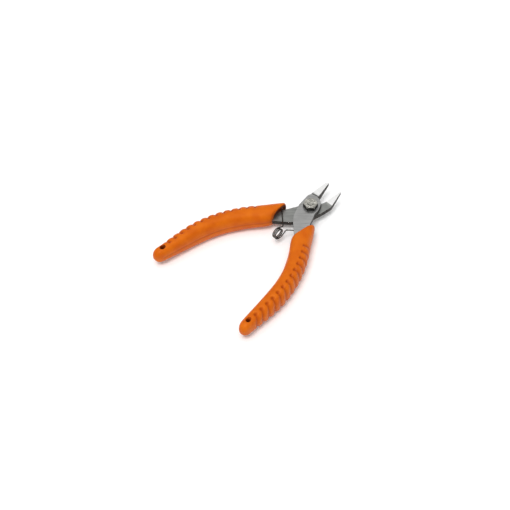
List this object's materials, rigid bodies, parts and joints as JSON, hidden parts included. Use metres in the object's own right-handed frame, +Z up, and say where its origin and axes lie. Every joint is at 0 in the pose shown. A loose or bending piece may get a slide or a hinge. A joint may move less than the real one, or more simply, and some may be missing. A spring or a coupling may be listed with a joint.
{
  "type": "spring-return line nippers",
  "caption": "Small plate-blade nippers for fishing line, with a hex-nut pivot, wire return spring, angled jaws and curved ribbed grips.",
  "frame": {"origin": "on the surface the tool lies on, under the middle of its box", "axes": "+Y from the handle ends towards the jaw tips, +Z up through the pivot from the bolt head to the nut, +X towards the front blade's handle"},
  "size_m": [0.084, 0.1167, 0.015],
  "materials": {
    "blade_steel": "satin ground steel",
    "grip_rubber": "smooth satin moulded orange",
    "pivot_steel": "bright plated steel",
    "spring_wire": "drawn spring wire"
  },
  "bodies": {
    "pivot": {"pivot_bolt": "pivot_steel", "pivot_nut": "pivot_steel", "pivot_washer": "pivot_steel", "return_spring": "spring_wire"},
    "front_half": {"front_blade": "blade_steel", "front_grip": "grip_rubber"},
    "rear_half": {"rear_blade": "blade_steel", "rear_grip": "grip_rubber"}
  },
  "joints": [
    {"name": "front_swing", "type": "hinge", "parent": "pivot", "child": "front_half", "pos_m": [0, 0.03693, 0.0075], "axis": [0, 0, -1], "range_deg": [0, 13.2], "stiffness_Nm_per_rad": 0.6, "deforming": ["return_spring"]},
    {"name": "rear_swing", "type": "hinge", "parent": "pivot", "child": "rear_half", "pos_m": [0, 0.03693, 0.0075], "axis": [0, 0, 1], "range_deg": [0, 13.2], "stiffness_Nm_per_rad": 0.6, "deforming": ["return_spring"]}
  ],
  "couplings": [
    {"joint": "rear_swing", "follows": "front_swing", "ratio": 1}
  ]
}
